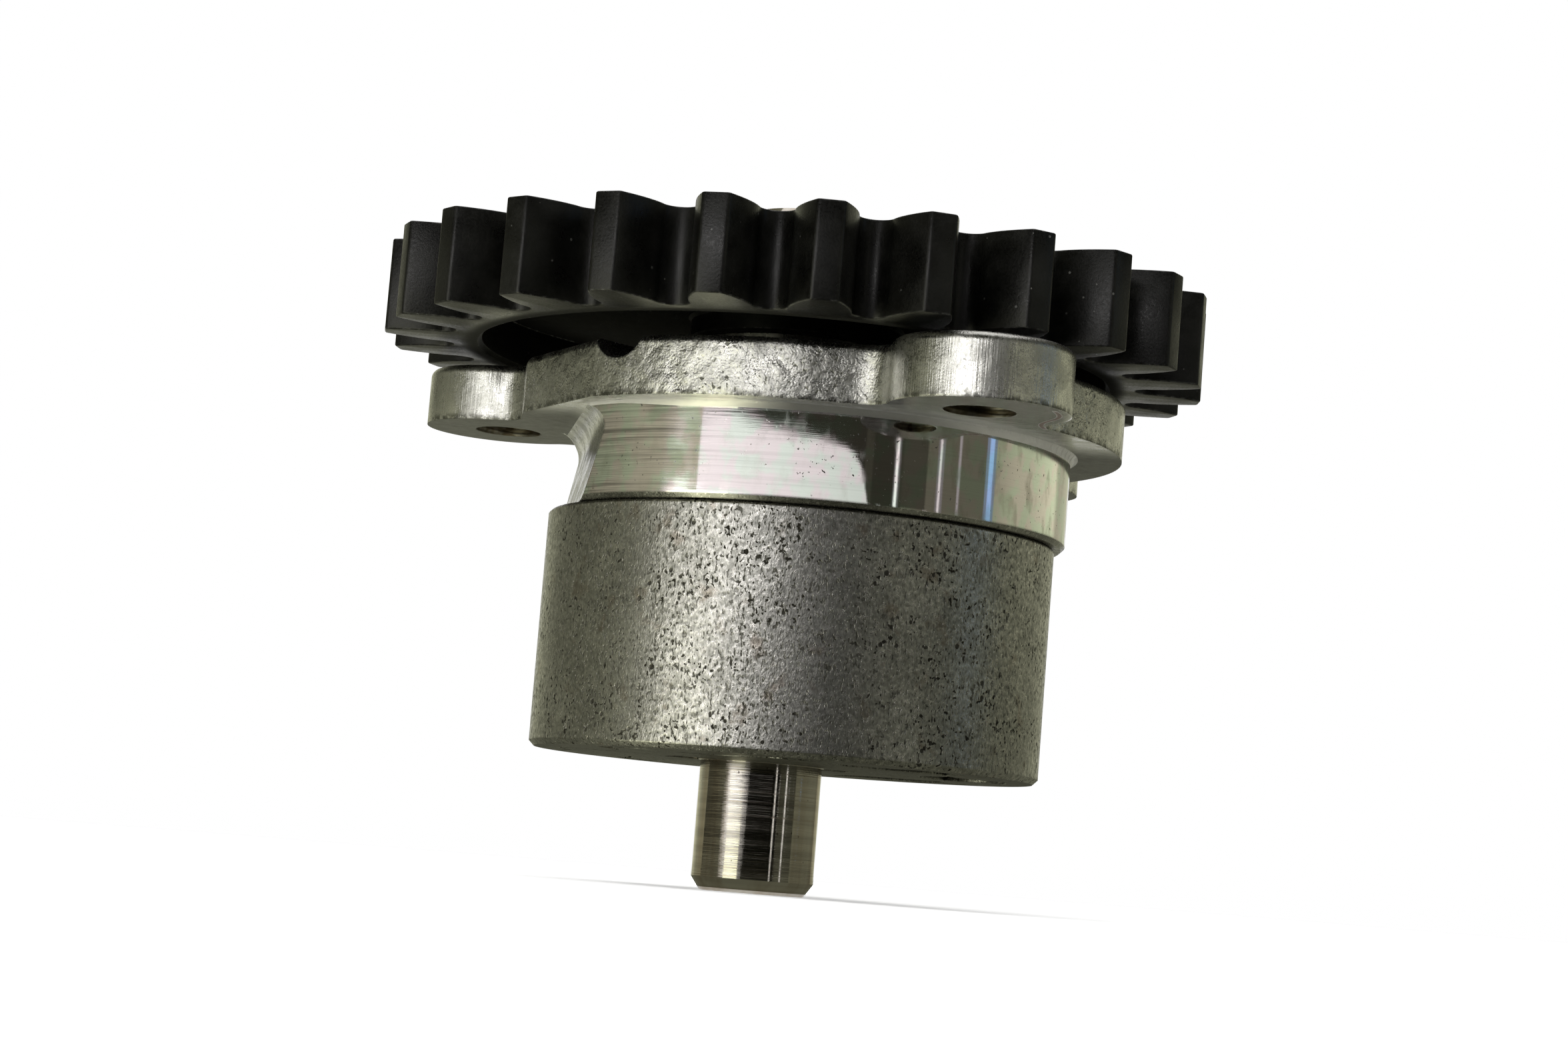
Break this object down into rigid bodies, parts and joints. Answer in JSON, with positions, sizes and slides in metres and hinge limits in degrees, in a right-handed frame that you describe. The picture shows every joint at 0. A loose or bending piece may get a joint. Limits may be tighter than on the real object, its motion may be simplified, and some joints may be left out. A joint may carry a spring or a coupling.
{
  "type": "engine oil pump",
  "caption": "Internal rotor oil pump for an engine: flanged body with bolt ears and pilot spigot, rotor pair below it, and a spur gear on the shaft above it.",
  "frame": {"origin": "on the pilot spigot's axis, at the flange face that seats on the block", "axes": "+Z along the pump axis towards the drive gear; the shaft stands beside the origin towards -X; -Y is the front"},
  "size_m": [0.0808, 0.081, 0.0672],
  "materials": {
    "body_casting": "as cast, turned spigot",
    "bush_bronze": "sintered bronze",
    "washer_steel": "ground",
    "shaft_steel": "ground and polished",
    "pin_steel": "ground",
    "ring_steel": "phosphated spring steel",
    "gear_steel": "black phosphated",
    "rotor_steel": "bare sintered steel"
  },
  "bodies": {
    "housing": {"pump_body": "body_casting", "gear_end_bush": "bush_bronze", "rotor_end_bush": "bush_bronze", "thrust_washer": "washer_steel"},
    "rotating_shaft": {"drive_shaft": "shaft_steel", "drive_gear": "gear_steel", "gear_key": "pin_steel", "gear_retaining_ring": "ring_steel", "inner_rotor": "rotor_steel", "rotor_drive_pin": "pin_steel"},
    "outer_ring": {"outer_rotor": "rotor_steel"}
  },
  "joints": [
    {"name": "shaft_spin", "type": "hinge", "parent": "housing", "child": "rotating_shaft", "pos_m": [-0.0021, 0, 0], "axis": [0, 0, 1], "continuous": true},
    {"name": "outer_rotor_spin", "type": "hinge", "parent": "housing", "child": "outer_ring", "pos_m": [0, 0, 0], "axis": [0, 0, 1], "continuous": true}
  ],
  "couplings": [
    {"joint": "outer_rotor_spin", "follows": "shaft_spin", "ratio": 0.875}
  ]
}
